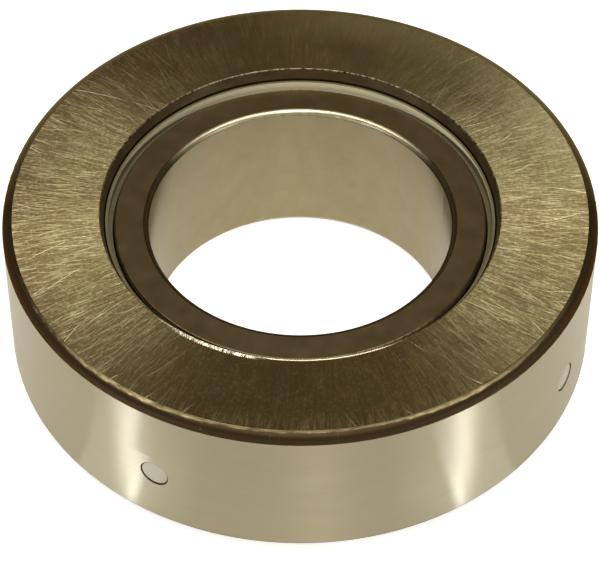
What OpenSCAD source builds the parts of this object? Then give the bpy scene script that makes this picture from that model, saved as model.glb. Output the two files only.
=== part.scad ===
// Single direction thrust ball bearing with angular contact.
// Z is the axis of rotation, and the inner ring stands on z = 0.
// The outer ring covers the balls from above, the inner ring carries them from below,
// and a moulded cage keeps the balls apart. Four plugs close the grease holes.

/* [Rings] */
// Outside diameter of the outer ring
outer_d = 88; // [86:0.5:96]
// Bore diameter of the inner ring
bore_d = 45; // [38:0.5:47]
// Width of each ring along the axis
ring_w = 24; // [23:0.5:30]
// How far the inner ring stands out below the outer ring
ring_offset = 2.5; // [1:0.1:4]
// Wall of the inner ring's neck, above its raceway
neck_wall = 5.1; // [4:0.1:6]
// Wall of the outer ring's skirt, below its raceway
skirt_wall = 5.1; // [4.4:0.1:6]
// Radial gap between the two rings at the open ends
race_gap = 1.5; // [1.3:0.1:1.8]

/* [Edges] */
// Corner radius on the outside of the outer ring, at its face
outer_edge_r = 1.5; // [0.5:0.1:2]
// Corner radius at the foot of the outer ring's skirt
foot_edge_r = 0.4; // [0.2:0.1:1.5]
// Corner radius at both ends of the bore
bore_edge_r = 0.8; // [0.3:0.1:1.5]
// Corner radius on the small outside edges of the inner ring
neck_edge_r = 0.3; // [0.1:0.05:0.5]
// Corner radius where the mouth meets the outer ring's face
mouth_edge_r = 0.25; // [0.1:0.05:0.4]
// Radial depth of the bevel inside the outer ring's mouth
mouth_bevel_w = 0.4; // [0.2:0.05:0.8]
// Height of the bevel inside the outer ring's mouth
mouth_bevel_h = 1.6; // [0.5:0.1:2.5]

/* [Balls] */
// Ball diameter, as a share of the radial room between the neck and the skirt
ball_share = 0.885; // [0.8:0.005:0.92]
// Least wall of the cage between two balls' pockets
pocket_wall = 2.4; // [2:0.1:4]
// Contact angle, measured from the plane of the ring
contact_angle = 60; // [55:1:65]
// How much larger the radius of each raceway groove is than the radius of a ball
groove_ease = 0.2; // [0.1:0.05:0.4]
// Clearance between a ball and each raceway
ball_play = 0.02; // [0.01:0.005:0.05]
// Distance from the ball centres to each raceway shoulder, as a share of the ball diameter
shoulder_share = 0.22; // [0.2:0.01:0.26]

/* [Cage] */
// Clearance between the cage and each ring
cage_play = 0.25; // [0.2:0.05:0.3]
// Half thickness of the cage's web, as a share of the ball diameter
web_share = 0.17; // [0.12:0.01:0.19]
// Clearance round a ball in its pocket
pocket_play = 0.2; // [0.1:0.05:0.3]
// How far the cage's collar stops below the outer ring's face
collar_drop = 1.9; // [1.2:0.1:3]
// Wall of the thin lip on top of the collar
lip_wall = 0.35; // [0.25:0.05:0.5]
// Height of the thin lip on top of the collar
lip_h = 1.7; // [0.8:0.1:3]

/* [Plugs] */
// Number of plugged grease holes
plug_count = 4; // [2:1:6]
// Turn of the first plug round the axis
plug_turn = 45; // [0:5:90]
// Diameter of a grease hole
grease_hole_d = 4.5; // [3.5:0.1:5]
// How far the grease holes lie below the ball centres
grease_hole_drop = 1.05; // [0:0.05:3]
// Gap round the plug's face
plug_gap = 0.15; // [0.1:0.05:0.3]
// Clearance at the plug's ribs
rib_play = 0.02; // [0.01:0.01:0.05]
// How far the plug's face sits inside the outside surface
plug_recess = 0.15; // [0.05:0.05:0.4]
// Room behind a plug, up to the inside of the skirt
plug_back = 0.75; // [0.3:0.05:1.5]
// Number of ribs round a plug
rib_count = 3; // [2:1:4]

/* [Hidden] */
$fn = 96;
fit = 0.01;

outer_r = outer_d / 2;
bore_r = bore_d / 2;
neck_r = bore_r + neck_wall;
skirt_r = outer_r - skirt_wall;
mouth_r = neck_r + race_gap;
flange_r = skirt_r - race_gap;
pitch_r = (neck_r + skirt_r) / 2;
// Balls come in tenths of a millimetre.
ball_d = floor(10 * ball_share * (skirt_r - neck_r)) / 10;
ball_r = ball_d / 2;
groove_r = ball_r + groove_ease;
shoulder_drop = ball_d * shoulder_share;

outer_z0 = ring_offset;
outer_z1 = ring_offset + ring_w;
ball_z = outer_z1 / 2;

// The contact line runs up and out through the ball, and the cage's web lies across it.
line_r = cos(contact_angle);
line_z = sin(contact_angle);
reach = outer_d;

collar_z = outer_z1 - collar_drop;
collar_r0 = neck_r + cage_play;
collar_r1 = mouth_r - cage_play;
collar_z0 = ball_z + (pitch_r - collar_r0) / tan(contact_angle);
web_half = ball_d * web_share;
web_r0 = collar_r0;
web_r1 = skirt_r - cage_play;
pocket_r = ball_r + pocket_play;
ball_count = floor(180 / asin((pocket_r + pocket_wall / 2) / pitch_r));
hole_r = grease_hole_d / 2;
hole_depth = skirt_wall + plug_gap;
plug_z = ball_z - grease_hole_drop;
plug_len = skirt_wall - plug_recess - plug_back;
plug_face_r = outer_r - plug_recess;
plug_r = hole_r - plug_gap;
rib_r = hole_r - rib_play;

function two_digits(i) = str(i < 10 ? "0" : "", i);
function ball_name(i) = str("ball_", two_digits(i));
function plug_name(i) = str("plug_", i);

// Cuts a corner at x, y round. Toward holds the signs of the two directions into the metal.
module round_corner(x, y, r, toward) {
  translate([x + toward[0] * r, y + toward[1] * r])
    difference() {
      translate([toward[0] > 0 ? -r - fit : 0, toward[1] > 0 ? -r - fit : 0])
        square(r + fit);
      circle(r = r);
    }
}

// Half plane on one side of the cone through the ball centres. Side is 1 above it, -1 below.
module beyond_cone(distance, side) {
  translate([pitch_r, ball_z])
    rotate(contact_angle)
      translate([side > 0 ? distance : -distance - 2 * reach, -reach])
        square([2 * reach, 2 * reach]);
}

// Circle of the raceway groove. Its centre lies a little across the ball from the contact.
module groove_circle(side) {
  shift = side * (ball_r + ball_play - groove_r);
  translate([pitch_r + shift * line_r, ball_z + shift * line_z])
    circle(r = groove_r);
}

module outer_ring_section() {
  difference() {
    translate([mouth_r, outer_z0])
      square([outer_r - mouth_r, ring_w]);
    // Room for the balls and the inner ring's flange, inside the skirt.
    difference() {
      translate([mouth_r - fit, outer_z0 - fit])
        square([skirt_r - mouth_r + fit, ring_w]);
      beyond_cone(shoulder_drop, 1);
    }
    groove_circle(1);
    // Bevel inside the mouth, with a rounded edge above it.
    polygon([
      [mouth_r - fit, outer_z1 + fit],
      [mouth_r + mouth_bevel_w, outer_z1 + fit],
      [mouth_r + mouth_bevel_w, outer_z1 - mouth_edge_r],
      [mouth_r, outer_z1 - mouth_bevel_h],
      [mouth_r - fit, outer_z1 - mouth_bevel_h]
    ]);
    round_corner(mouth_r + mouth_bevel_w, outer_z1, mouth_edge_r, [1, -1]);
    round_corner(outer_r, outer_z1, outer_edge_r, [-1, -1]);
    round_corner(outer_r, outer_z0, foot_edge_r, [-1, 1]);
    round_corner(skirt_r, outer_z0, neck_edge_r, [1, 1]);
  }
}

module outer_ring() {
  color([0.62, 0.58, 0.47])
    difference() {
      rotate_extrude()
        outer_ring_section();
      for (i = [0:plug_count - 1])
        rotate([0, 90, plug_turn + i * 360 / plug_count])
          translate([-plug_z, 0, outer_r - hole_depth])
            cylinder(r = hole_r, h = 2 * hole_depth);
    }
}

module inner_ring_section() {
  difference() {
    translate([bore_r, 0])
      square([flange_r - bore_r, ring_w]);
    // Room for the balls and the cage's collar, outside the neck.
    difference() {
      translate([neck_r, fit])
        square([flange_r - neck_r + fit, ring_w]);
      beyond_cone(shoulder_drop, -1);
    }
    groove_circle(-1);
    round_corner(bore_r, ring_w, bore_edge_r, [1, -1]);
    round_corner(bore_r, 0, bore_edge_r, [1, 1]);
    round_corner(neck_r, ring_w, neck_edge_r, [-1, -1]);
    round_corner(flange_r, 0, neck_edge_r, [-1, 1]);
  }
}

module inner_ring() {
  color([0.45, 0.38, 0.27])
    rotate_extrude()
      inner_ring_section();
}

module cage_section() {
  // Web between the two raceway shoulders.
  intersection() {
    translate([pitch_r, ball_z])
      rotate(contact_angle)
        translate([-web_half, -reach])
          square([2 * web_half, 2 * reach]);
    translate([web_r0, outer_z0])
      square([web_r1 - web_r0, ring_w]);
  }
  // Collar between the neck and the mouth.
  translate([collar_r0, collar_z0])
    square([collar_r1 - collar_r0, collar_z - lip_h - collar_z0]);
  // Thin lip on the collar's outside.
  translate([collar_r1 - lip_wall, collar_z - lip_h - fit])
    square([lip_wall, lip_h + fit]);
}

module at_ball(i) {
  rotate([0, 0, (i - 0.5) * 360 / ball_count])
    translate([pitch_r, 0, ball_z])
      children();
}

module cage() {
  color([0.80, 0.77, 0.62])
    difference() {
      rotate_extrude()
        cage_section();
      for (i = [1:ball_count])
        at_ball(i)
          rotate([0, 90 - contact_angle, 0])
            cylinder(r = pocket_r, h = 4 * web_half, center = true);
    }
}

module ball(i) {
  color([0.70, 0.70, 0.70])
    at_ball(i)
      sphere(r = ball_r);
}

module plug_section() {
  rib_pitch = plug_len / (rib_count + 1);
  edge = plug_gap;
  // Body with a softened face.
  difference() {
    square([plug_r, plug_len]);
    round_corner(plug_r, plug_len, edge, [-1, -1]);
  }
  // Barbed ribs that hold the plug in its hole.
  for (k = [1:rib_count])
    polygon([
      [plug_r - fit, (k - 0.5) * rib_pitch],
      [rib_r, (k - 0.1) * rib_pitch],
      [rib_r, k * rib_pitch],
      [plug_r - fit, k * rib_pitch]
    ]);
}

module plug(i) {
  color([0.88, 0.85, 0.72])
    rotate([0, 90, plug_turn + (i - 1) * 360 / plug_count])
      translate([-plug_z, 0, plug_face_r - plug_len])
        rotate_extrude()
          plug_section();
}

outer_ring();
inner_ring();
cage();
for (i = [1:ball_count])
  ball(i);
for (i = [1:plug_count])
  plug(i);
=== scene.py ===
# %% [markdown]
# # Dressing a thrust ball bearing
#
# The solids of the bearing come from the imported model. They already have their true size,
# and nothing here moves or reshapes them. This lesson gives every surface its finish:
# a ground upper face, a ground outside, brown turned corners, a honed bore, a moulded cage
# and moulded plugs. It also sets up a small studio, and a camera.

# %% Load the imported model
import math

import bpy
from mathutils import Matrix, Vector


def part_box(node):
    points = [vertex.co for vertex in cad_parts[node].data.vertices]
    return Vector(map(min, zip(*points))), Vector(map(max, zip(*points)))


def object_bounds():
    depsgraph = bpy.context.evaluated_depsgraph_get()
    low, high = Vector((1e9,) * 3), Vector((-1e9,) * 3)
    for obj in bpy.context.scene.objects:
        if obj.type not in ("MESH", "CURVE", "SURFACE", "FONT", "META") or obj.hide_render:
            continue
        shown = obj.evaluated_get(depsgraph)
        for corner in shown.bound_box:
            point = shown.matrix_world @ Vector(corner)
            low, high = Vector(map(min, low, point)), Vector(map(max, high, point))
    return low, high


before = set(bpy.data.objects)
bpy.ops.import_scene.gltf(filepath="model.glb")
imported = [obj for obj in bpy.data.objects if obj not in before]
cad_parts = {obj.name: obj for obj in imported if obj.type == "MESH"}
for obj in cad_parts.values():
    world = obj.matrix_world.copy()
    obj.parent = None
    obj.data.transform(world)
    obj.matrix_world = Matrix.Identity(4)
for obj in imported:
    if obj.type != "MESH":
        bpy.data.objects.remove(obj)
cad_low, cad_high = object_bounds()
print("CAD box in mm:", [round(v * 1000, 2) for v in (*cad_low, *cad_high)])

# %% [markdown]
# ## Sizes that the rest is measured from
#
# Every place below comes from the boxes of the solids, so the script follows them when
# the bearing changes its size. The rings are round, so half a box's width is a radius.
# A box doesn't tell how wide a hole is, so those radii come from the solids' corners.

# %% Measure the rings
MM = 0.001
CLOSE = 0.01 * MM

ring_low, ring_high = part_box("outer_ring")
race_low, race_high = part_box("inner_ring")
cage_low, cage_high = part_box("cage")
top_z = ring_high.z
outer_r = ring_high.x


def corner_radii(node, above):
    """How far a solid's corners are from the axis, for those above a height."""
    corners = [vertex.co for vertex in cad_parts[node].data.vertices]
    return [math.hypot(corner.x, corner.y) for corner in corners if corner.z > above]


bore_r = min(corner_radii("inner_ring", race_low.z))
neck_r = max(corner_radii("inner_ring", race_high.z - 2 * MM))
mouth_r = min(corner_radii("outer_ring", top_z - CLOSE))
lip_r = min(corner_radii("cage", cage_high.z - CLOSE))
print("outside radius", round(outer_r / MM, 2), "upper face", round(top_z / MM, 2))

# %% [markdown]
# ## The camera
#
# A long lens from a little over 0.4 m flattens the ring only slightly. The camera looks
# down at 46 degrees. It is turned 17 degrees about the axis, so that one plug shows at the
# lower left and its neighbour at the right.

# %% Place the camera
CAMERA_TURN = math.radians(-17.0)
CAMERA_LIFT = math.radians(46.32)
CAMERA_ROLL = math.radians(0.18)
CAMERA_FAR = 9.367 * outer_r
CAMERA_LENS = 167.5
SENSOR_WIDTH = 36.0
NEAR_CLIP = 0.01
AIM_DROP = 0.2675 * outer_r


def direction(turn, lift):
    """Unit vector that points away from the object, as the camera's own angles are counted."""
    flat = math.cos(lift)
    return Vector((math.sin(turn) * flat, -math.cos(turn) * flat, math.sin(lift)))


def aim(thing, place, target, roll=0.0):
    """Puts a camera or a lamp at a place and points it at a target."""
    look = (target - place).to_track_quat("-Z", "Y").to_matrix().to_4x4()
    thing.matrix_world = Matrix.Translation(place) @ look @ Matrix.Rotation(roll, 4, "Z")


face_centre = Vector((0.0, 0.0, top_z))
camera_way = direction(CAMERA_TURN, CAMERA_LIFT)
screen_up = direction(CAMERA_TURN, CAMERA_LIFT + math.pi / 2)
camera_data = bpy.data.cameras.new("camera")
camera_data.lens = CAMERA_LENS
camera_data.sensor_width = SENSOR_WIDTH
camera_data.clip_start = NEAR_CLIP
camera = bpy.data.objects.new("camera", camera_data)
bpy.context.scene.collection.objects.link(camera)
camera_place = face_centre + camera_way * CAMERA_FAR
aim(camera, camera_place, face_centre - screen_up * AIM_DROP, CAMERA_ROLL)
bpy.context.scene.camera = camera
print("camera at", [round(v, 4) for v in camera.location])

# %% [markdown]
# ## Small helpers for node trees
#
# A material is a tree of nodes. These helpers keep the trees short to read: one adds a node
# and sets its values, and the others do arithmetic and mix colours.

# %% Node helpers


def feed(tree, socket, value):
    """Links a socket to another, or stores a plain number, colour or vector in it."""
    if isinstance(value, bpy.types.NodeSocket):
        tree.links.new(value, socket)
    else:
        socket.default_value = value


def add(tree, kind, inputs=None, **settings):
    """Adds a node, sets its settings and feeds its inputs."""
    node = tree.nodes.new(kind)
    for name, value in settings.items():
        setattr(node, name, value)
    for name, value in (inputs or {}).items():
        feed(tree, node.inputs[name], value)
    return node


def maths(tree, operation, *values):
    """One step of arithmetic. Returns the result's socket."""
    node = add(tree, "ShaderNodeMath", operation=operation)
    for socket, value in zip(node.inputs, values):
        feed(tree, socket, value)
    return node.outputs[0]


def times(tree, one, other):
    """The product of two values."""
    return maths(tree, "MULTIPLY", one, other)


def most(tree, one, other):
    """The larger of two values."""
    return maths(tree, "MAXIMUM", one, other)


def remap(tree, value, low, high, to_low, to_high):
    """Stretches a value from one range to another, and keeps it inside the second."""
    node = add(tree, "ShaderNodeMapRange", {0: value, 1: low, 2: high, 3: to_low, 4: to_high})
    return node.outputs[0]


def mask(tree, value, low, high, full=1.0):
    """0 where a value is at low, full where it is at high, and a slope between them."""
    return remap(tree, value, low, high, 0.0, full)


def mix_colour(tree, factor, low, high):
    """Mixes two colours. Returns the result's socket."""
    node = add(tree, "ShaderNodeMix", data_type="RGBA")
    feed(tree, node.inputs[0], factor)
    feed(tree, node.inputs[6], low)
    feed(tree, node.inputs[7], high)
    return node.outputs[2]


print("node helpers ready")

# %% [markdown]
# Every finish starts from a Principled shader. Two settings come back in several of them: a
# relief too fine to model, and reflections that are drawn out along the axis.

# %% Material helpers


def start_material(name, metallic):
    """A new material with a Principled shader. Returns the material, its tree and the shader."""
    material = bpy.data.materials.new(name)
    material.use_nodes = True
    tree = material.node_tree
    tree.nodes.clear()
    shader = add(tree, "ShaderNodeBsdfPrincipled")
    shader.inputs["Metallic"].default_value = metallic
    output = add(tree, "ShaderNodeOutputMaterial")
    tree.links.new(shader.outputs[0], output.inputs[0])
    return material, tree, shader


def give_relief(tree, shader, height, strength, depth):
    """Makes light fall as if the surface rose and sank by up to a depth."""
    bump = add(tree, "ShaderNodeBump", {"Height": height, "Strength": strength, "Distance": depth})
    feed(tree, shader.inputs["Normal"], bump.outputs[0])


def draw_upright(tree, shader, amount):
    """Spreads reflections along the axis, as marks that run round a part do."""
    shader.inputs["Anisotropic"].default_value = amount
    upright = add(tree, "ShaderNodeCombineXYZ", {0: 0.0, 1: 0.0, 2: 1.0})
    feed(tree, shader.inputs["Tangent"], upright.outputs[0])


print("material helpers ready")

# %% [markdown]
# ## Marks that follow the ring
#
# Grinding and turning leave marks that follow the part. On the upper face they run outwards
# from the axis, and on the outside they run round it. Both need polar coordinates: the
# distance from the axis and the angle round it. The angle goes back into a cosine and a sine
# before it reaches a noise texture, so the pattern has no seam where the circle closes.

# %% Polar coordinates and marks


def polar(tree):
    """Distance from the axis in mm, angle in radians and height in mm, from Object coordinates."""
    place = add(tree, "ShaderNodeTexCoord").outputs["Object"]
    split = add(tree, "ShaderNodeSeparateXYZ", {0: place})
    across = times(tree, split.outputs[0], 1 / MM)
    along = times(tree, split.outputs[1], 1 / MM)
    height = times(tree, split.outputs[2], 1 / MM)
    squares = maths(tree, "ADD", times(tree, across, across), times(tree, along, along))
    radius = maths(tree, "SQRT", squares)
    angle = maths(tree, "ARCTAN2", along, across)
    return radius, angle, height


def ring_noise(tree, angle, run, lines, stretch, seed, detail=3.0, slant=0.0):
    """Noise with a number of lines round the circle, drawn out along the run."""
    turned = maths(tree, "ADD", angle, times(tree, run, slant))
    east = times(tree, maths(tree, "COSINE", turned), lines)
    north = times(tree, maths(tree, "SINE", turned), lines)
    third = maths(tree, "ADD", times(tree, run, stretch), seed)
    vector = add(tree, "ShaderNodeCombineXYZ", {0: east, 1: north, 2: third}).outputs[0]
    inputs = {"Vector": vector, "Scale": 1.0, "Detail": detail}
    return add(tree, "ShaderNodeTexNoise", inputs).outputs["Fac"]


def object_noise(tree, scale, detail):
    """Noise of the same grain in every direction."""
    place = add(tree, "ShaderNodeTexCoord").outputs["Object"]
    inputs = {"Vector": place, "Scale": scale, "Detail": detail}
    return add(tree, "ShaderNodeTexNoise", inputs).outputs["Fac"]


def facing(tree, angle, turn):
    """1 at a turn round the axis, 0 at a quarter turn from it, -1 opposite."""
    return maths(tree, "COSINE", maths(tree, "SUBTRACT", angle, turn))


print("marks ready")

# %% [markdown]
# ## Where the ring is worn
#
# Handling doesn't mark a ring evenly. These angles, counted round the axis from the X axis,
# say where each kind of wear sits. They belong to the part and turn with it. Front, back,
# left and right are its sides as the camera sees them at rest.

# %% Places round the ring
RIGHT_TURN = math.radians(-17.0)
BRIGHT_TURN = math.radians(33.0)
BACK_TURN = math.radians(73.0)
LEFT_TURN = math.radians(163.0)
WORN_LEFT = math.radians(217.0)
BURR_TURN = math.radians(230.0)
DARKER_TURN = math.radians(232.0)
RUBBED_TURN = math.radians(246.5)
FRONT_TURN = math.radians(253.0)
WORN_RIGHT = math.radians(290.0)

RIM = outer_r / MM
MOUTH = mouth_r / MM
TOP = top_z / MM
print("rim", round(RIM, 2), "mouth", round(MOUTH, 2), "top", round(TOP, 2), "in mm")

# %% [markdown]
# ## Ground steel on the upper face
#
# The upper face was ground across, from the bore outwards. Light that falls on such marks
# spreads round the ring and not along the marks, so the two sides of the ring light up while
# the front and back stay dark. The shader's anisotropy does that, with a tangent round the
# axis. Fine lines in the colour, the roughness and the height are the marks themselves.
#
# The marks come in layers. Long soft bands lie lowest. Over them go patches and stains, then
# close marks that lean a little left and right, then a few that cross them, and grit last. The
# bright marks and the bright grit are painted highlights, strongest at the two sides where the
# lamp lights the face.

# %% Layers of the upper face
STEEL = (0.50, 0.42, 0.205, 1.0)
STEEL_DARK = (0.275, 0.215, 0.10, 1.0)
STEEL_BRIGHT = (0.93, 0.87, 0.50, 1.0)
STEEL_BROWN = (0.24, 0.16, 0.08, 1.0)


def face_sheen_and_wear(tree, radius, angle):
    """Where the marks show: painted highlight at the two sides, where the lamp lights the face, and wear
    along the rim in front.
    """
    side = maths(tree, "ABSOLUTE", facing(tree, angle, RIGHT_TURN))
    front = facing(tree, angle, FRONT_TURN)
    at_rim = mask(tree, radius, RIM - 5, RIM - 2, 0.8)
    rubbed = times(tree, at_rim, mask(tree, front, 0.3, 0.8))
    return most(tree, remap(tree, side, 0.30, 0.85, 0.06, 1.0), rubbed)


def stained_tone(tree, radius, angle, fine, patches):
    """Colour under the marks: fine lines, bands, patches, stains and two wide zones."""
    bands = ring_noise(tree, angle, radius, lines=42.0, stretch=0.16, seed=5.0, slant=0.002)
    stains = ring_noise(tree, angle, radius, lines=4.0, stretch=0.12, seed=37.0)
    # The face is darker towards this turn.
    dull = mask(tree, facing(tree, angle, DARKER_TURN), 0.75, 0.95, 0.45)
    left = mask(tree, facing(tree, angle, LEFT_TURN), 0.3, 0.7)
    brown_rim = times(tree, mask(tree, radius, RIM - 7.5, RIM - 2, 0.8), left)
    bright = mask(tree, facing(tree, angle, BRIGHT_TURN), 0.6, 0.9)
    bright_rim = times(tree, remap(tree, radius, RIM - 9, RIM - 3, 0.10, 0.45), bright)
    tone = mix_colour(tree, mask(tree, fine, 0.30, 0.70), STEEL_DARK, STEEL)
    tone = mix_colour(tree, mask(tree, bands, 0.42, 0.62, 0.7), tone, STEEL_DARK)
    tone = mix_colour(tree, mask(tree, patches, 0.44, 0.60, 0.75), tone, STEEL_DARK)
    tone = mix_colour(tree, mask(tree, stains, 0.50, 0.64, 0.6), tone, STEEL_BROWN)
    tone = mix_colour(tree, dull, tone, STEEL_DARK)
    tone = mix_colour(tree, brown_rim, tone, STEEL_BROWN)
    return mix_colour(tree, bright_rim, tone, STEEL_BRIGHT)


def close_marks(tree, radius, angle, seed, slant):
    """Many short marks side by side that lean one way."""
    return ring_noise(tree, angle, radius, lines=160.0, stretch=0.20, seed=seed, detail=2.0, slant=slant)


def crossing_marks(tree, radius, angle, seed, slant):
    """A few long marks that lean further over."""
    return ring_noise(tree, angle, radius, lines=130.0, stretch=0.08, seed=seed, detail=1.0, slant=slant)


print("layers of the upper face ready")

# %% [markdown]
# ## The whole upper face
#
# The mouth's near edge is rubbed to a bright line. Its pale colour is partly painted highlight.
# A burr stands on it where the ring was pushed home. Both are a rise of the surface towards the
# mouth. It turns the edge's light towards the viewer, as the real one does.

# %% Upper face
RUBBED_WIDTH = 0.22
RUBBED_RISE = 0.065
BURR_WIDTH = 0.60
BURR_RISE = 0.20
FULL_SHINE_RISE = 0.0625
RUBBED_STEEL_HIGHLIGHT = (0.78, 0.75, 0.62, 1.0)


def mouth_rise(tree, radius, angle, ragged):
    """How far the mouth's rubbed line and its burr stand up, in mm."""
    inward = maths(tree, "SUBTRACT", radius, MOUTH)
    rubbed_here = mask(tree, facing(tree, angle, RUBBED_TURN), 0.79, 0.88)
    burr_here = mask(tree, facing(tree, angle, BURR_TURN), 0.965, 0.992)
    rubbed = times(tree, remap(tree, inward, 0.0, RUBBED_WIDTH, 1.0, 0.0), rubbed_here)
    burr_slope = remap(tree, inward, 0.0, BURR_WIDTH, 1.0, 0.0)
    burr = times(tree, burr_slope, times(tree, burr_here, ragged))
    return most(tree, times(tree, rubbed, RUBBED_RISE), times(tree, burr, BURR_RISE))


def make_face_steel():
    """Steel ground outwards from the bore, with painted highlights on its marks at its two sides."""
    material, tree, shader = start_material("ground_face_steel", 1.0)
    radius, angle, height = polar(tree)
    fine = ring_noise(tree, angle, radius, lines=200.0, stretch=0.30, seed=1.0, detail=2.0)
    patches = ring_noise(tree, angle, radius, lines=12.0, stretch=0.30, seed=31.0, detail=5.0)
    left_hand = close_marks(tree, radius, angle, 9.0, 0.0035)
    right_hand = close_marks(tree, radius, angle, 17.0, -0.0030)
    left_cross = crossing_marks(tree, radius, angle, 23.0, 0.0085)
    right_cross = crossing_marks(tree, radius, angle, 27.0, -0.0100)
    # wear here holds painted highlight at the two lit sides, and real wear at the front rim.
    wear = face_sheen_and_wear(tree, radius, angle)
    tone = stained_tone(tree, radius, angle, fine, patches)

    close = most(tree, mask(tree, left_hand, 0.54, 0.76), mask(tree, right_hand, 0.54, 0.76))
    cross = most(tree, mask(tree, left_cross, 0.70, 0.76), mask(tree, right_cross, 0.70, 0.76))
    # Bright marks: partly real marks, partly painted highlight where the sides are lit.
    marks = times(tree, most(tree, times(tree, close, 0.8), cross), wear)
    tone = mix_colour(tree, marks, tone, STEEL_BRIGHT)

    grit = object_noise(tree, 2100.0, 4.0)
    gritty_front = remap(tree, facing(tree, angle, FRONT_TURN), 0.5, 0.9, 0.1, 0.55)
    gritty = most(tree, times(tree, wear, 0.9), gritty_front)
    pits = times(tree, mask(tree, grit, 0.50, 0.72, 0.60), gritty)
    tone = mix_colour(tree, pits, tone, STEEL_DARK)
    # Glints are painted highlights: bright specks painted into the colour.
    glints = times(tree, mask(tree, grit, 0.48, 0.28, 0.38), gritty)
    tone = mix_colour(tree, glints, tone, STEEL_BRIGHT)

    ragged_noise = maths(tree, "ADD", left_hand, right_cross)
    ragged = remap(tree, ragged_noise, 0.85, 1.08, 0.25, 1.0)
    rise = mouth_rise(tree, radius, angle, ragged)
    shine = mask(tree, rise, 0.0, FULL_SHINE_RISE)
    # Partly painted highlight: the rubbed line and the burr are painted near white.
    tone = mix_colour(tree, shine, tone, RUBBED_STEEL_HIGHLIGHT)
    feed(tree, shader.inputs["Base Color"], tone)
    feed(tree, shader.inputs["Roughness"], remap(tree, patches, 0.3, 0.7, 0.32, 0.40))

    shader.inputs["Anisotropic"].default_value = 0.88
    tangent = add(tree, "ShaderNodeTangent", direction_type="RADIAL", axis="Z")
    feed(tree, shader.inputs["Tangent"], tangent.outputs[0])
    relief = maths(tree, "ADD", times(tree, fine, 0.5), times(tree, marks, -0.2))
    ground = {"Height": relief, "Strength": 1.0, "Distance": 0.1 * MM}
    ground_bump = add(tree, "ShaderNodeBump", ground)
    raised = {"Height": rise, "Strength": 1.0, "Distance": MM, "Normal": ground_bump.outputs[0]}
    raised_bump = add(tree, "ShaderNodeBump", raised)
    feed(tree, shader.inputs["Normal"], raised_bump.outputs[0])
    return material


face_steel = make_face_steel()
print("made", face_steel.name)

# %% [markdown]
# ## Ground steel on the outside
#
# The outside was ground with the ring turning, so its marks run round it. They spread light
# up and down, which draws each lamp out into an upright streak. The tangent here is the axis
# itself.

# %% Outside
SIDE_DARK = (0.352, 0.308, 0.195, 1.0)
SIDE_LIGHT = (0.372, 0.326, 0.212, 1.0)
SIDE_CLOUD = (0.44, 0.395, 0.28, 1.0)


def make_side_steel():
    """Steel ground round the ring, with faint pale clouds."""
    material, tree, shader = start_material("ground_side_steel", 1.0)
    radius, angle, height = polar(tree)
    rounds = ring_noise(tree, angle, height, lines=1.2, stretch=9.0, seed=3.0, detail=4.0)
    clouds = ring_noise(tree, angle, height, lines=5.0, stretch=0.25, seed=5.0)
    tone = mix_colour(tree, mask(tree, rounds, 0.35, 0.65), SIDE_DARK, SIDE_LIGHT)
    tone = mix_colour(tree, mask(tree, clouds, 0.4, 0.7, 0.3), tone, SIDE_CLOUD)
    feed(tree, shader.inputs["Base Color"], tone)
    feed(tree, shader.inputs["Roughness"], remap(tree, clouds, 0.3, 0.7, 0.31, 0.35))
    draw_upright(tree, shader, 1.0)
    give_relief(tree, shader, rounds, 0.04, 0.1 * MM)
    return material


side_steel = make_side_steel()
print("made", side_steel.name)

# %% [markdown]
# ## Smooth steel
#
# The raceways, the inner ring, the bore, the mouth and the balls are smoother than the ground
# faces, and they mirror the dark upper part of the room. A few faint marks round the axis and
# a little mottling keep them from looking like plastic. One recipe makes them all, with its
# own colours and roughness for each. The mouth's steel is painted dark: in the mouth a painted
# reflection of the dark parts it faces, and on the inner ring's neck painted shade in the gap.

# %% Smooth steel
ROUGHNESS_SPREAD = 0.05


def make_smooth_steel(name, colours, roughness, lines, upright=0.0, spots=9.0):
    """Smooth steel with faint turned lines. Upright draws lamps out along the axis."""
    material, tree, shader = start_material(name, 1.0)
    radius, angle, height = polar(tree)
    run = maths(tree, "ADD", radius, height)
    rounds = ring_noise(tree, angle, run, lines=1.0, stretch=lines, seed=3.0, detail=1.0)
    mottle = ring_noise(tree, angle, run, lines=spots, stretch=0.35, seed=8.0)
    feed(tree, shader.inputs["Base Color"], mix_colour(tree, mask(tree, mottle, 0.35, 0.7), *colours))
    least = roughness * (1 - ROUGHNESS_SPREAD)
    greatest = roughness * (1 + ROUGHNESS_SPREAD)
    feed(tree, shader.inputs["Roughness"], remap(tree, mottle, 0.3, 0.7, least, greatest))
    give_relief(tree, shader, rounds, 0.02, 0.1 * MM)
    if upright > 0.0:
        draw_upright(tree, shader, upright)
    return material


# Painted dark: a painted reflection in the mouth, painted shade on the inner ring's neck.
PAINTED_DARK_TONES = (0.125, 0.092, 0.047, 1.0), (0.180, 0.133, 0.070, 1.0)
WORN_TONES = (0.02, 0.015, 0.008, 1.0), (0.34, 0.28, 0.17, 1.0)
RACE_TONES = (0.30, 0.238, 0.134, 1.0), (0.352, 0.282, 0.166, 1.0)
BORE_TONES = (0.266, 0.215, 0.116, 1.0), (0.300, 0.250, 0.144, 1.0)
BALL_TONES = (0.62, 0.60, 0.56, 1.0), (0.66, 0.64, 0.60, 1.0)
painted_dark_steel = make_smooth_steel("turned_mouth_steel", PAINTED_DARK_TONES, 0.42, 5.0)
worn_steel = make_smooth_steel("worn_edge_steel", WORN_TONES, 0.42, 5.0, spots=80.0)
race_steel = make_smooth_steel("inner_ring_steel", RACE_TONES, 0.295, 0.8)
bore_steel = make_smooth_steel("honed_bore_steel", BORE_TONES, 0.33, 3.0, upright=0.9)
ball_steel = make_smooth_steel("ball_steel", BALL_TONES, 0.08, 1.0)
print("made", painted_dark_steel.name, race_steel.name, bore_steel.name, ball_steel.name)
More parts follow.
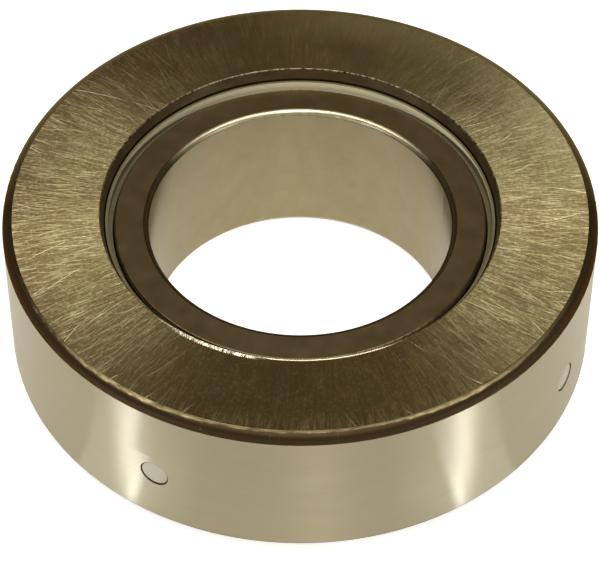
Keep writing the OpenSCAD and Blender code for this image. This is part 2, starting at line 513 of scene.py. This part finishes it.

# %% [markdown]
# ## Edges
#
# Hardening leaves a brown skin, and grinding takes it off the faces only. So the outer ring's
# corner is still brown, apart from a thin line where it meets the upper face and handling has
# rubbed it. Its far half is painted paler, as painted highlight. The rounding at the bore's
# mouth is painted bright at the back, as painted highlight, and painted dark elsewhere. A
# tinted edge reflection keeps both from turning white at a low angle.

# %% Corner and bore edge
EDGE_TINT = (0.45, 0.38, 0.28, 1.0)
SKIN_DARK = (0.026, 0.017, 0.008, 1.0)
SKIN_LIGHT = (0.080, 0.052, 0.027, 1.0)
RUBBED_AND_LIT_SKIN = (0.36, 0.295, 0.155, 1.0)
NICKED_SKIN = (0.38, 0.31, 0.17, 1.0)
BROAD_REACH = 0.13
RAGGED_REACH = 0.20
HIGHLIGHT_DARK = (0.50, 0.44, 0.28, 1.0)
HIGHLIGHT_LIGHT = (0.72, 0.66, 0.48, 1.0)
UNLIT_EDGE = (0.085, 0.066, 0.036, 1.0)


def rubbed_line(tree, angle, height, run, front):
    """A mask for the rubbed line under the upper face: ragged, and broad at two spots."""
    wear = ring_noise(tree, angle, run, lines=26.0, stretch=1.2, seed=12.0, detail=5.0)
    breaks = ring_noise(tree, angle, run, lines=22.0, stretch=2.0, seed=15.0, detail=2.0)
    spots = most(tree, facing(tree, angle, WORN_LEFT), facing(tree, angle, WORN_RIGHT))
    broad = times(tree, mask(tree, spots, 0.95, 0.995), BROAD_REACH)
    reach = maths(tree, "ADD", broad, times(tree, wear, RAGGED_REACH))
    below = maths(tree, "SUBTRACT", TOP, height)
    line = mask(tree, maths(tree, "SUBTRACT", reach, below), 0.0, 0.10, 0.95)
    broken = times(tree, line, remap(tree, breaks, 0.35, 0.60, 0.45, 1.0))
    return times(tree, broken, mask(tree, front, 0.35, 0.90))


def make_corner_steel():
    """Unground corner: brown from the heat treatment, rubbed where it meets the face, and painted paler
    on the far half as painted highlight.
    """
    material, tree, shader = start_material("turned_corner_steel", 1.0)
    shader.inputs["Specular Tint"].default_value = EDGE_TINT
    radius, angle, height = polar(tree)
    run = maths(tree, "ADD", radius, height)
    front = facing(tree, angle, FRONT_TURN)
    rounds = ring_noise(tree, angle, run, lines=1.5, stretch=7.0, seed=3.0)
    skin = mix_colour(tree, rounds, SKIN_DARK, SKIN_LIGHT)
    rubbed = rubbed_line(tree, angle, height, run, front)
    # Painted highlight: the far half of the corner is painted paler.
    far_side_highlight = mask(tree, front, 0.0, -0.5, 0.6)
    tone = mix_colour(tree, most(tree, rubbed, far_side_highlight), skin, RUBBED_AND_LIT_SKIN)
    nicks = ring_noise(tree, angle, run, lines=150.0, stretch=1.60, seed=21.0, detail=1.0, slant=0.01)
    nicked = times(tree, mask(tree, nicks, 0.73, 0.83), mask(tree, front, 0.5, 0.8, 0.6))
    tone = mix_colour(tree, nicked, tone, NICKED_SKIN)
    feed(tree, shader.inputs["Base Color"], tone)
    feed(tree, shader.inputs["Roughness"], remap(tree, rubbed, 0.0, 1.0, 0.50, 0.38))
    give_relief(tree, shader, rounds, 0.25, 0.1 * MM)
    return material


def make_bore_edge_steel():
    """Rounding at the bore's mouth: painted highlight at the back, painted dark elsewhere."""
    material, tree, shader = start_material("bore_edge_steel", 1.0)
    shader.inputs["Specular Tint"].default_value = EDGE_TINT
    radius, angle, height = polar(tree)
    mottle = ring_noise(tree, angle, height, lines=14.0, stretch=0.6, seed=8.0)
    bright = mix_colour(tree, mottle, HIGHLIGHT_DARK, HIGHLIGHT_LIGHT)
    # Painted highlight: the colour is bright only at the back, where the lamp shows in the rounding.
    back_highlight = mask(tree, facing(tree, angle, BACK_TURN), 0.50, 0.86)
    feed(tree, shader.inputs["Base Color"], mix_colour(tree, back_highlight, UNLIT_EDGE, bright))
    feed(tree, shader.inputs["Roughness"], remap(tree, mottle, 0.3, 0.7, 0.33, 0.39))
    return material


corner_steel = make_corner_steel()
bore_edge_steel = make_bore_edge_steel()
print("made", corner_steel.name, bore_edge_steel.name)

# %% [markdown]
# ## Moulded polymer
#
# The cage and the plugs are moulded from an ivory polymer. It is dull and slightly waxy, a
# little darker where grease has reached it. The cage away from its lip lies deep in the gap and
# is painted dark, as painted shade. The inside of the lip is painted lighter lower down, as
# painted light against the shade there, and painted shade covers its lower part. That shade
# stands higher on it away from the back and darkens the left.

# %% Polymer
PLUG_TONES = (0.50, 0.455, 0.30, 1.0), (0.42, 0.38, 0.24, 1.0)
# The cage's tones are painted shade: the ivory polymer painted dark.
CAGE_SHADE_TONES = (0.14, 0.12, 0.06, 1.0), (0.10, 0.085, 0.04, 1.0)
LIP_EDGE = (0.92, 0.86, 0.55, 1.0)
LIP_PAINTED_LIGHT = (0.99, 0.96, 0.70, 1.0)
LIP_SHADE = (0.12, 0.10, 0.055, 1.0)
SHADE_LINE_BACK = 1.70
SHADE_LINE_SIDES = 0.15


def make_polymer(name, colours, roughness):
    """Dull moulded polymer with cloudy grease and a fine moulding grain."""
    material, tree, shader = start_material(name, 0.0)
    cloud = object_noise(tree, 420.0, 4.0)
    grain = object_noise(tree, 5200.0, 2.0)
    feed(tree, shader.inputs["Base Color"], mix_colour(tree, mask(tree, cloud, 0.4, 0.75, 0.6), *colours))
    patchy = remap(tree, cloud, 0.3, 0.7, roughness - 0.08, roughness + 0.08)
    feed(tree, shader.inputs["Roughness"], patchy)
    give_relief(tree, shader, grain, 0.15, 0.05 * MM)
    return material


def make_lip_polymer():
    """Ivory polymer painted lighter lower down, as painted light against the shade there. Painted shade
    covers the lower part, higher away from the back, and darkens the left.
    """
    material, tree, shader = start_material("cage_lip_polymer", 0.0)
    radius, angle, height = polar(tree)
    below = maths(tree, "SUBTRACT", cage_high.z / MM, height)
    # Painted light: the lip's colour grows lighter lower down, against the shade deep in the gap.
    lip_tone = mix_colour(tree, mask(tree, below, 0.1, 1.5), LIP_EDGE, LIP_PAINTED_LIGHT)
    # Painted shade towards the left.
    left_shade = mask(tree, facing(tree, angle, LEFT_TURN), 0.1, 0.8, 0.5)
    lip_tone = mix_colour(tree, left_shade, lip_tone, LIP_SHADE)
    lip_noise = ring_noise(tree, angle, height, lines=16.0, stretch=0.5, seed=3.0)
    # Painted shade over the lower part, from a line that stands higher away from the back.
    line = remap(tree, facing(tree, angle, BACK_TURN), 1.0, 0.35, SHADE_LINE_BACK, SHADE_LINE_SIDES)
    line = maths(tree, "ADD", line, times(tree, lip_noise, 0.20))
    painted_shade_below = mask(tree, maths(tree, "SUBTRACT", below, line), 0.0, 0.15, 0.95)
    feed(tree, shader.inputs["Base Color"], mix_colour(tree, painted_shade_below, lip_tone, LIP_SHADE))
    feed(tree, shader.inputs["Roughness"], remap(tree, painted_shade_below, 0.0, 1.0, 0.55, 0.40))
    give_relief(tree, shader, lip_noise, 0.2, 0.1 * MM)
    return material


lip_polymer = make_lip_polymer()
shaded_cage_polymer = make_polymer("cage_painted_shade_polymer", CAGE_SHADE_TONES, 0.6)
plug_polymer = make_polymer("plug_polymer", PLUG_TONES, 0.45)
print("made", lip_polymer.name, shaded_cage_polymer.name, plug_polymer.name)

# %% [markdown]
# ## Finishes go on by place
#
# One solid can carry several finishes. Each triangle of a ring is looked at once: how far its
# corners are from the axis, and how high they lie. That picks one of the solid's slots.

# %% Choose slots


def outer_ring_slot(radii, heights):
    """0 upper face, 1 outside, 2 its corners, 3 the mouth's edge, 4 the mouth, 5 the inside."""
    if min(heights) > top_z - CLOSE:
        return 0
    # The walls of the grease holes open in the outside at mid height.
    mid_height = ring_low.z + 2 * MM < min(heights) and max(heights) < top_z - 2 * MM
    if min(radii) > outer_r - CLOSE or (mid_height and max(radii) > outer_r - 1 * MM):
        return 1
    if min(radii) > outer_r - 2 * MM:
        return 2
    if min(heights) > top_z - 0.3 * MM:
        return 3
    return 4 if max(radii) < mouth_r + 1 * MM else 5


def inner_ring_slot(radii, heights):
    """1 the bore, 2 the neck behind the cage's collar, painted dark as shade, 3 the bore's edge, 0
    everything else.
    """
    if max(radii) < bore_r + CLOSE:
        return 1
    if max(radii) < bore_r + 1 * MM and min(heights) > race_high.z - 1 * MM:
        return 3
    on_neck = min(radii) > neck_r - 0.31 * MM and min(heights) > race_high.z - 5 * MM
    # The neck takes the dark steel: painted shade in the gap behind the cage.
    return 2 if on_neck and min(heights) < race_high.z - CLOSE else 0


def cage_slot(radii, heights):
    """1 the inside of the lip, 0 everything else, which is painted dark as shade."""
    on_lip = max(abs(radius - lip_r) for radius in radii) < CLOSE
    return 1 if on_lip and min(heights) > cage_high.z - 3 * MM else 0


def one_slot(radii, heights):
    """The same finish all over."""
    return 0


print("slot choosers ready")

# %% [markdown]
# The solids' meshes stay as they are. Only their list of materials and each face's number in
# that list change.

# %% Dress the solids


def dress(node, materials, choose):
    """Fills a solid's slots and picks one for each face, from its corners' radii and heights."""
    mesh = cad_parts[node].data
    mesh.materials.clear()
    for material in materials:
        mesh.materials.append(material)
    for face in mesh.polygons:
        corners = [mesh.vertices[index].co for index in face.vertices]
        radii = [math.hypot(corner.x, corner.y) for corner in corners]
        heights = [corner.z for corner in corners]
        face.material_index = choose(radii, heights)


outer_finishes = [face_steel, side_steel, corner_steel, worn_steel, painted_dark_steel, race_steel]
inner_finishes = [race_steel, bore_steel, painted_dark_steel, bore_edge_steel]
dress("outer_ring", outer_finishes, outer_ring_slot)
dress("inner_ring", inner_finishes, inner_ring_slot)
dress("cage", [shaded_cage_polymer, lip_polymer], cage_slot)
for name in sorted(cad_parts):
    if name.startswith("ball_"):
        dress(name, [ball_steel], one_slot)
    if name.startswith("plug_"):
        dress(name, [plug_polymer], one_slot)
print("dressed", len(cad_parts), "solids")

# %% [markdown]
# ## The floor
#
# The floor is plain and white. It takes the ring's shadow. To the camera and to mirror-like
# metal it also glows a little, so that it reads as clean white without any extra lamp. In
# mirrors the glow fades towards the front, as in a room that is darker on that side.

# %% Floor
FLOOR_SIZE = 6.0
FLOOR_DROP = 0.1 * MM
FLOOR_GREY = (0.62, 0.62, 0.62, 1.0)
FLOOR_GLOW = (0.80, 0.80, 0.80, 1.0)
POOL_FRONT = -70 * MM
POOL_BACK = 25 * MM

bpy.ops.object.select_all(action="DESELECT")
floor_place = (0.0, 0.0, cad_low.z - FLOOR_DROP)
bpy.ops.mesh.primitive_plane_add(size=FLOOR_SIZE, location=floor_place)
floor = bpy.context.object
floor.name = "floor"


def make_floor():
    """Pale matt paint that also glows to camera, glossy and transmission rays."""
    material = bpy.data.materials.new("floor_white")
    material.use_nodes = True
    tree = material.node_tree
    tree.nodes.clear()
    path = add(tree, "ShaderNodeLightPath")
    seen = most(tree, path.outputs["Is Camera Ray"], path.outputs["Is Glossy Ray"])
    seen = most(tree, seen, path.outputs["Is Transmission Ray"])
    place = add(tree, "ShaderNodeTexCoord").outputs["Object"]
    to_back = (-math.sin(CAMERA_TURN), math.cos(CAMERA_TURN), 0.0)
    depth = add(tree, "ShaderNodeVectorMath", {0: place, 1: to_back}, operation="DOT_PRODUCT")
    pool = remap(tree, depth.outputs["Value"], POOL_FRONT, POOL_BACK, 0.46, 0.98)
    strength = mix_colour(tree, path.outputs["Is Camera Ray"], pool, FLOOR_GLOW)
    matt = add(tree, "ShaderNodeBsdfDiffuse", {"Color": FLOOR_GREY})
    glow = add(tree, "ShaderNodeEmission", {"Color": strength, "Strength": seen})
    both = add(tree, "ShaderNodeAddShader", {0: matt.outputs[0], 1: glow.outputs[0]})
    output = add(tree, "ShaderNodeOutputMaterial")
    tree.links.new(both.outputs[0], output.inputs[0])
    return material


floor.data.materials.append(make_floor())
print("floor at", round(floor.location.z / MM, 3), "mm")

# %% [markdown]
# ## Light
#
# A soft box hangs over the ring and lights the two sides of its upper face. Three slim ones
# stand lower: one to each side and one high in front, for the thin lines of light on the
# edges. They shine at the ring, and a lamp's power follows its size, so a lamp can change its
# size and still look equally bright in a mirror.

# %% Soft boxes
WARM = (1.0, 0.97, 0.90)
COOL = (0.74, 0.86, 1.0)
PALE = (0.72, 0.78, 1.0)
LAMP_FAR = 0.9
SIDE_LAMP_TURN = math.radians(53.5)


def soft_box(name, turn, lift, size, brightness, colour):
    """A rectangular lamp that shines at the ring. Brightness is what a mirror would show."""
    width, height = size
    data = bpy.data.lights.new(name, "AREA")
    data.shape = "RECTANGLE"
    data.size = width
    data.size_y = height
    data.energy = brightness * math.pi * width * height
    data.color = colour
    lamp = bpy.data.objects.new(name, data)
    bpy.context.scene.collection.objects.link(lamp)
    way = direction(CAMERA_TURN + turn, math.radians(lift))
    aim(lamp, face_centre + way * LAMP_FAR, face_centre)
    return lamp


soft_box("lamp_over", 0.0, 89, (1.52, 0.28), 5.2, WARM)
soft_box("lamp_left", -SIDE_LAMP_TURN, 12, (0.04, 0.36), 14.0, COOL)
soft_box("lamp_right", SIDE_LAMP_TURN, 12, (0.04, 0.36), 14.0, COOL)
soft_box("lamp_front", math.radians(8), 60, (0.08, 0.40), 22.0, WARM)
print("four soft boxes")

# %% [markdown]
# ## Streaks on the outside
#
# The outside stands upright, so from above it mirrors the floor. The two bright streaks on it
# are lamps that lie flat on the floor and shine up. They can't reach the upper face, so they
# leave it alone. Each streak takes three: a slim one close in, a wider one beyond it, and a
# broad faint one that softens both sides.

# %% Floor strips
STRIP_LIFT = 0.2 * MM
LEFT_STREAK = math.radians(-32.5)
RIGHT_STREAK = math.radians(31.0)


def floor_strip(name, side, start, size, brightness, colour):
    """A lamp flat on the floor that runs away from the ring, where a streak mirrors it."""
    length = size[0]
    foot = outer_r * direction(CAMERA_TURN + side, 0.0)
    along = direction(CAMERA_TURN + 2 * side, 0.0)
    middle = foot + (start + length / 2) * along
    middle.z = cad_low.z + STRIP_LIFT
    lamp = soft_box(name, 0.0, 0.0, size, brightness, colour)
    turned = Matrix.Rotation(math.atan2(along.y, along.x), 4, "Z")
    face_up = Matrix.Rotation(math.pi, 4, "X")
    lamp.matrix_world = Matrix.Translation(middle) @ turned @ face_up
    lamp.visible_camera = False


for word, side in (("left", LEFT_STREAK), ("right", RIGHT_STREAK)):
    floor_strip("near_strip_" + word, side, 5 * MM, (12 * MM, 2.0 * MM), 6.5, PALE)
    floor_strip("far_strip_" + word, side, 17 * MM, (90 * MM, 3.3 * MM), 8.5, PALE)
    floor_strip("soft_strip_" + word, side, 2 * MM, (100 * MM, 24 * MM), 0.42, COOL)
print("six floor strips")

# %% [markdown]
# ## The room
#
# The room is pale near the floor and dim and warm above, which is what the smooth edges
# mirror. The camera itself sees it as plain white.

# %% Room
ROOM_LOW = (0.95, 0.93, 0.88, 1.0)
ROOM_HIGH = (0.150, 0.118, 0.078, 1.0)
WHITE = (1.0, 1.0, 1.0, 1.0)


def make_room():
    """A world that is pale low down and dim above, and white to the camera."""
    world = bpy.data.worlds.new("room")
    world.use_nodes = True
    tree = world.node_tree
    tree.nodes.clear()
    path = add(tree, "ShaderNodeLightPath")
    way = add(tree, "ShaderNodeTexCoord").outputs["Generated"]
    rise = add(tree, "ShaderNodeSeparateXYZ", {0: way}).outputs[2]
    tone = mix_colour(tree, mask(tree, rise, 0.12, 0.40), ROOM_LOW, ROOM_HIGH)
    tone = mix_colour(tree, path.outputs["Is Camera Ray"], tone, WHITE)
    light = add(tree, "ShaderNodeBackground", {"Color": tone, "Strength": 1.0})
    output = add(tree, "ShaderNodeOutputWorld")
    tree.links.new(light.outputs[0], output.inputs[0])
    return world


bpy.context.scene.world = make_room()
bpy.context.scene.view_settings.view_transform = "Standard"
print("room ready")
